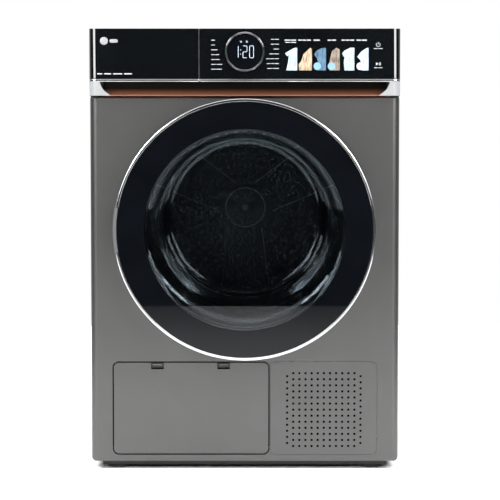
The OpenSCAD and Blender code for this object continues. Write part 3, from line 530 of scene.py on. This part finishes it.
def display():
    """The time left and two small round signs above it."""
    y = DISPLAY_LO.y - PRINT
    bm = bmesh.new()
    width, height = DIGIT_SIZE
    z = DIAL_Z - 11.5 * MM
    for text, x in (("1", -20), ("2", -3.4), ("0", 9.2)):
        digit(bm, text, x * MM, z, width, height, y)
    for dz in (0.32, 0.66):
        prism(bm, arc(-8 * MM, z + height * dz, 0.8 * MM, 0, 345, 15), y, y + 2 * PRINT)
    sign_z = DIAL_Z + 19 * MM
    for x in (-7 * MM, 4 * MM):
        ring, core = [arc(x, sign_z, r * MM, 0, 330, 11) for r in (1.8, 1.1)]
        frame_prism(bm, ring, core, y, y + 2 * PRINT)
    piece("display_digits", bm, DIGITS, "root")


# Half garments, as outlines in a unit box: x to the right, z up.
SHIRT = [(1, 0), (1, 1), (0.82, 1), (0.55, 0.94), (0, 0.76), (0.16, 0.62), (0.3, 0.68),
         (0.26, 0.4), (0.1, 0)]
COAT = [(1, 0), (1, 0.94), (0.9, 1), (0.72, 0.92), (0.36, 0.72), (0.2, 0.42), (0, 0.28), (0.02, 0)]
JACKET = [(1, 0), (1, 1), (0.6, 0.98), (0.2, 0.86), (0, 0.7), (0.24, 0.55), (0.34, 0.36), (0.3, 0)]
KNIT = [(1, 0), (1, 0.93), (0.7, 1), (0.34, 0.86), (0.16, 0.5), (0.04, 0.16), (0.14, 0)]
BLOUSE = [(1, 0), (1, 1), (0.66, 1), (0.22, 0.88), (0, 0.76), (0.1, 0.62), (0.22, 0.6),
          (0.14, 0.36), (0.2, 0)]
POLO = [(1, 0), (1, 1), (0.78, 0.97), (0.36, 0.82), (0, 0.6), (0.26, 0.48), (0.36, 0.34), (0.42, 0)]
WHITE, WHITE_SHADE = (0.42, 0.51, 0.53), (0.2, 0.29, 0.34)


def pictures():
    """Six half-garment pictures, three of them with a round badge."""
    blue_badge, grey_badge = (0.15, 0.28, 0.38), (0.36, 0.38, 0.4)
    sorts = [
        (SHIRT, 23, WHITE, WHITE_SHADE, None),
        (COAT, 25, (0.42, 0.33, 0.23), (0.18, 0.11, 0.07), None),
        (JACKET, 23, (0.075, 0.145, 0.22), (0.03, 0.06, 0.1), blue_badge),
        (KNIT, 22, (0.24, 0.19, 0.15), (0.08, 0.065, 0.055), blue_badge),
        (BLOUSE, 23.5, WHITE, WHITE_SHADE, None),
        (POLO, 22, (0.42, 0.49, 0.55), (0.2, 0.26, 0.34), grey_badge),
    ]
    y = PANEL_LO.y - PRINT
    bottom = DIAL_Z - 35.5 * MM
    for i, (outline, width, light, shade, badge) in enumerate(sorts):
        x = PICTURE_X[i]
        bm = bmesh.new()
        points = [(x + a * width * MM, bottom + b * PICTURE_HEIGHT) for a, b in outline]
        prism(bm, points, y, y + 2 * PRINT)
        cloth = cloth_print("picture_cloth_%d" % (i + 1), light, shade)
        piece("picture_%d" % (i + 1), bm, cloth, "root")
        if badge:
            bm = bmesh.new()
            disc = arc(x + 6.4 * MM, bottom + 8 * MM, 7.2 * MM, 0, 350, 35)
            prism(bm, disc, y - PRINT, y)
            print_colour = light_print("badge_print_%d" % (i + 1), badge, 0.15)
            piece("picture_badge_%d" % (i + 1), bm, print_colour, "root")


def drawer_marks():
    """A blank disc and bar, four dashes of print, and a grey strip on the right edge of the drawer front
    that is a painted highlight of that edge.
    """
    y = DRAWER_LO.y
    bm = bmesh.new()
    z = DRAWER_LO.z + 72.5 * MM
    for x0, x1, half in ((-276, -261, 7.4), (-258, -242, 3.4)):
        outline = rounded(x0 * MM, z - half * MM, x1 * MM, z + half * MM, (half - 0.1) * MM)
        x = (x0 + x1) / 2 * MM
        loops = []
        for grow, depth in ((1, 0), (1, -0.4), (0.9375, -0.6)):
            row_y = y + depth * MM
            points = [(x + (a - x) * grow, row_y, z + (b - z) * grow) for a, b in outline]
            loops.append([bm.verts.new(point) for point in points])
        bridge(bm, loops)
        bm.faces.new(loops[-1])
        bm.faces.new(loops[0][::-1])
    piece("blank_badge", bm, MATERIAL["cap_grey"], "tank_drawer")
    bm = bmesh.new()
    z0, z1 = DRAWER_LO.z + 9 * MM, DRAWER_LO.z + 11 * MM
    for x0, x1 in ((-282, -272), (-268.5, -255), (-251, -234), (-230, -215)):
        prism(bm, rounded(x0 * MM, z0, x1 * MM, z1, 0.7 * MM), y - PRINT, y + PRINT)
    piece("drawer_line", bm, LABEL, "tank_drawer")
    # Painted highlight: a thin grey strip along the drawer front's right edge stands in for the edge's
    # highlight.
    bm = bmesh.new()
    x0, x1 = DRAWER_HI.x - 0.7 * MM, DRAWER_HI.x - 0.05 * MM
    z0, z1 = DRAWER_LO.z + 0.5 * MM, DRAWER_HI.z - 0.5 * MM
    block(bm, (x0, y - 0.1 * MM, z0), (x1, y + 0.6 * MM, z1), 0.08 * MM)
    piece("drawer_edge_highlight", bm, MATERIAL["handle_grey"], "tank_drawer")


def tank_details():
    """The water tank's screw cap with its grip bar, and the ribs on its sides and top."""
    x = (TANK_LO.x + TANK_HI.x) / 2
    y = TANK_LO.y + 70 * MM
    top = TANK_HI.z
    bm = bmesh.new()
    loops = []
    steps, knurls = 144, 36
    for r, up, knurl in ((20, -1, 0.3), (20, 1.4, 0.3), (19.2, 2, 0.3), (15.5, 2.2, 0), (15, 1.2, 0)):
        ring = []
        for i in range(steps):
            a = 2 * pi * i / steps
            near = (r + knurl * cos(knurls * a)) * MM
            ring.append(bm.verts.new((x + near * cos(a), y + near * sin(a), top + up * MM)))
        loops.append(ring)
    bridge(bm, loops)
    bm.faces.new(loops[0][::-1])
    bm.faces.new(loops[-1])
    lo = (x - 13 * MM, y - 2.4 * MM, top + 0.8 * MM)
    hi = (x + 13 * MM, y + 2.4 * MM, top + 2.8 * MM)
    block(bm, lo, hi, 0.7 * MM)
    piece("tank_cap", bm, MATERIAL["handle_grey"], "tank_drawer")
    bm = bmesh.new()
    edge, deep, end = 0.8 * MM, 1.6 * MM, 16 * MM
    for i in range(7):
        rib_y = TANK_LO.y + (40 + 72 * i) * MM
        for side_x in (TANK_LO.x, TANK_HI.x):
            lo = (side_x - deep, rib_y, top - 40 * MM)
            hi = (side_x + deep, rib_y + 5 * MM, top - 9 * MM)
            block(bm, lo, hi, edge)
        if i:
            lo = (TANK_LO.x + end, rib_y + 24 * MM, top - 1 * MM)
            hi = (TANK_HI.x - end, rib_y + 30 * MM, top + 1.2 * MM)
            block(bm, lo, hi, edge)
    piece("tank_ribs", bm, MATERIAL["tank_plastic"], "tank_drawer")


# ---- door ----

def bowl():
    """The pressed glass bowl: a flange, a wide fillet, a wall with fine steps and a nose set higher."""
    rise = DRUM_Z - DOOR_Z
    front, end = BOWL_LO.y, BOWL_HI.y
    flange_r, glass, fillet, fillet_r = 200.5 * MM, 4 * MM, 50 * MM, 212 * MM
    fillet_start, nose, end_r, centre_r = 14, 16 * MM, 158 * MM, 0.1 * MM
    middle_y = front + fillet * cos(radians(fillet_start))
    reach = end - nose

    def wall(offset):
        """The fillet, the wall and the nose, as rows of radius and y; offset is the way outwards."""
        turns = [radians(fillet_start + 4 * i) for i in range(17)]
        near = fillet - offset
        rows = [(fillet_r - near * sin(a), middle_y - near * cos(a)) for a in turns]
        wall_r, start = rows[-1]
        wall_steps = 15
        for i in range(1, wall_steps + 1):
            t = i / wall_steps
            ripple = 0.35 * MM * (0.5 - 0.5 * cos(10 * pi * t))
            rows.append((wall_r - ripple - t * (wall_r - end_r - offset), start + t * (reach - start)))
        round_r = nose - glass + offset
        for a in range(9, 91, 9):
            rows.append((end_r - nose + round_r * cos(radians(a)), reach + round_r * sin(radians(a))))
        return rows

    rows = [(flange_r, front), (flange_r, front + glass)] + wall(glass) + [(centre_r, end)]
    rows += [(centre_r, end - glass)] + wall(0)[::-1]
    steps = 160
    turns = [2 * pi * i / steps for i in range(steps)]
    bm = bmesh.new()
    loops = []
    for r, y in rows:
        z = DOOR_Z + rise * max(0.0, min(1.0, (y - front) / (reach - front)))
        loops.append([bm.verts.new((r * cos(a), y, z + r * sin(a))) for a in turns])
    bridge(bm, loops + loops[:1])
    obj = piece("bowl_glass", bm, MATERIAL["bowl_glass"], "door", smooth=40)
    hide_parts("door_bowl")


def pane():
    """The flat front glass: clear over the window and black outside it."""
    bm = bmesh.new()
    y0, y1, edge = GLASS_LO.y, GLASS_HI.y, GLASS_HI.x
    centre_r, bevel = 0.1 * MM, 0.4 * MM
    profile = [(centre_r, y0), (WINDOW_R, y0), (edge - bevel, y0), (edge, y0 + bevel),
               (edge, y1), (WINDOW_R, y1), (centre_r, y1)]
    turned(bm, profile, 0, DOOR_Z, steps=192)
    for face in bm.faces:
        middle = face.calc_center_median()
        face.material_index = int(sqrt(middle.x ** 2 + (middle.z - DOOR_Z) ** 2) > WINDOW_R)
    obj = piece("door_pane", bm, MATERIAL["door_glass"], "door", smooth=30)
    obj.data.materials.append(MATERIAL["display_black"])
    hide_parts("door_glass")


def door_details():
    """Screws round the inner frame."""
    bm = bmesh.new()
    r = 226 * MM
    for i in range(10):
        a = radians(18 + 36 * i)
        screw(bm, (r * cos(a), FRAME_HI.y, DOOR_Z + r * sin(a)), (0, 1, 0), 3.6 * MM)
    piece("door_screws", bm, MATERIAL["bright_steel"], "door")


def drum_rims():
    """Pressed rims along the arms of the drum's star and round its hub, and the hub's screw."""
    hub_y = BACK_LO.y
    star_y = hub_y + 2.5 * MM
    bm = bmesh.new()
    corners = [(46, 34.8), (46, 36.6), (192, 54.8), (192, 53)]
    for turn in (30, 150, 270):
        along = Vector((cos(radians(turn)), sin(radians(turn)))) * MM
        across = Vector((-along.y, along.x))
        for side in (-1, 1):
            outline = [along * r + across * side * w + Vector((0, DRUM_Z)) for r, w in corners]
            prism(bm, outline, star_y - 0.6 * MM, star_y + 0.2 * MM)
    rings = [arc(0, DRUM_Z, r * MM, 0, 354, 59) for r in (43, 41)]
    frame_prism(bm, *rings, hub_y - 0.6 * MM, hub_y + 0.2 * MM)
    screw(bm, (0, hub_y, DRUM_Z), (0, -1, 0), 8 * MM)
    piece("drum_rims", bm, MATERIAL["bare_steel"], "drum")


# ---- stage ----

def area_light(name, at, aim, size, power):
    """A white rectangular light at one place, aimed at another."""
    light = bpy.data.lights.new(name, "AREA")
    light.shape = "RECTANGLE"
    light.size, light.size_y = size
    light.energy = power
    obj = bpy.data.objects.new(name, light)
    bpy.context.scene.collection.objects.link(obj)
    obj.location = at
    obj.rotation_euler = (Vector(aim) - Vector(at)).to_track_quat("-Z", "Y").to_euler()


def floor_white():
    """A pale floor that glows towards its far sides and its far back, where the lamps reach less."""
    material = finish("floor_white", (0.88, 0.88, 0.88), 0.6, vary=0.005, patch=1.5)
    tree = material.node_tree
    parts = tree.nodes.new("ShaderNodeSeparateXYZ")
    tree.links.new(tree.nodes["Texture Coordinate"].outputs["Object"], parts.inputs["Vector"])
    levels = []
    for axis, sign, start, end in (("X", 1, 1.0, 2.6), ("X", -1, 1.0, 2.6), ("Y", 1, 0.9, 2.2)):
        level = tree.nodes.new("ShaderNodeMapRange")
        for name, value in (("From Min", sign * start), ("From Max", sign * end), ("To Max", GLOW)):
            level.inputs[name].default_value = value
        tree.links.new(parts.outputs[axis], level.inputs["Value"])
        levels.append(level.outputs["Result"])
    total = levels[0]
    for level in levels[1:]:
        add = tree.nodes.new("ShaderNodeMath")
        tree.links.new(total, add.inputs[0])
        tree.links.new(level, add.inputs[1])
        total = add.outputs["Value"]
    shader = tree.nodes["Principled BSDF"]
    shader.inputs["Emission Color"].default_value = (1, 1, 1, 1)
    tree.links.new(total, shader.inputs["Emission Strength"])
    return material


def studio():
    """A pale floor, a room that is dark in front, a soft top light and three pairs of lights."""
    mesh = bpy.data.meshes.new("floor")
    bm = bmesh.new()
    half = FLOOR_HALF_WIDTH
    corners = ((-half, FLOOR_FRONT), (half, FLOOR_FRONT), (half, FLOOR_BACK), (-half, FLOOR_BACK))
    bm.faces.new([bm.verts.new((x, y, 0)) for x, y in corners])
    bm.to_mesh(mesh)
    bm.free()
    mesh.materials.append(floor_white())
    floor = bpy.data.objects.new("floor", mesh)
    bpy.context.scene.collection.objects.link(floor)

    area_light("top_light", (0, 1.3, 3.4), (0, 1.3, 0), (6, 6.4), 335)
    # For each pair: where the right one stands, what it is aimed at, its size and its power.
    pairs = {
        "side": ((1.6, -2.29, 1.21), (0.29, -0.28, 0.95), (1.45, 0.85), 26),
        "front": ((0.95, -3.0, 1.5), (0, -0.3, 0.65), (0.35, 0.35), 12),
        "high": ((1.95, -1.45, 2.02), (0, -0.3, 0.5), (0.55, 1.05), 84),
    }
    for side, side_name in ((-1, "left"), (1, "right")):
        mirror = Vector((side, 1, 1))
        for kind, (at, aim, size, power) in pairs.items():
            name = "%s_light_%s" % (kind, side_name)
            area_light(name, Vector(at) * mirror, Vector(aim) * mirror, size, power)

    world = bpy.data.worlds.new("studio")
    bpy.context.scene.world = world
    world.use_nodes = True
    tree = world.node_tree
    back = tree.nodes["Background"]
    coords = tree.nodes.new("ShaderNodeTexCoord")
    parts = tree.nodes.new("ShaderNodeSeparateXYZ")
    tree.links.new(coords.outputs["Generated"], parts.inputs["Vector"])
    around = ramp(tree, parts.outputs["Y"], (0.012, 0.013, 0.015), (0.6, 0.6, 0.6), 0.0, 0.6)
    tree.links.new(around, back.inputs["Color"])
    seen = tree.nodes.new("ShaderNodeBackground")
    seen.inputs["Color"].default_value = (1, 1, 1, 1)
    path = tree.nodes.new("ShaderNodeLightPath")
    mix = tree.nodes.new("ShaderNodeMixShader")
    tree.links.new(path.outputs["Is Camera Ray"], mix.inputs[0])
    tree.links.new(back.outputs["Background"], mix.inputs[1])
    tree.links.new(seen.outputs["Background"], mix.inputs[2])
    tree.links.new(mix.outputs["Shader"], tree.nodes["World Output"].inputs["Surface"])


def camera():
    """Straight ahead from 4 m, a little below the top of the machine."""
    data = bpy.data.cameras.new("camera")
    data.sensor_width = 36
    data.lens = 150.4
    obj = bpy.data.objects.new("camera", data)
    bpy.context.scene.collection.objects.link(obj)
    place = Vector((0.010, -4.29, 0.70))
    aim = Vector((0.010, -0.29, 0.427))
    obj.location = place
    obj.rotation_euler = (aim - place).to_track_quat("-Z", "Y").to_euler()
    bpy.context.scene.camera = obj
    bpy.context.scene.view_settings.view_transform = "Standard"


dress_nodes()
latch_shade_linings()
vent_shade_sheet()
rear_details()
label_columns()
key_symbols()
display()
pictures()
drawer_marks()
tank_details()
bowl()
pane()
door_details()
drum_rims()
studio()
camera()
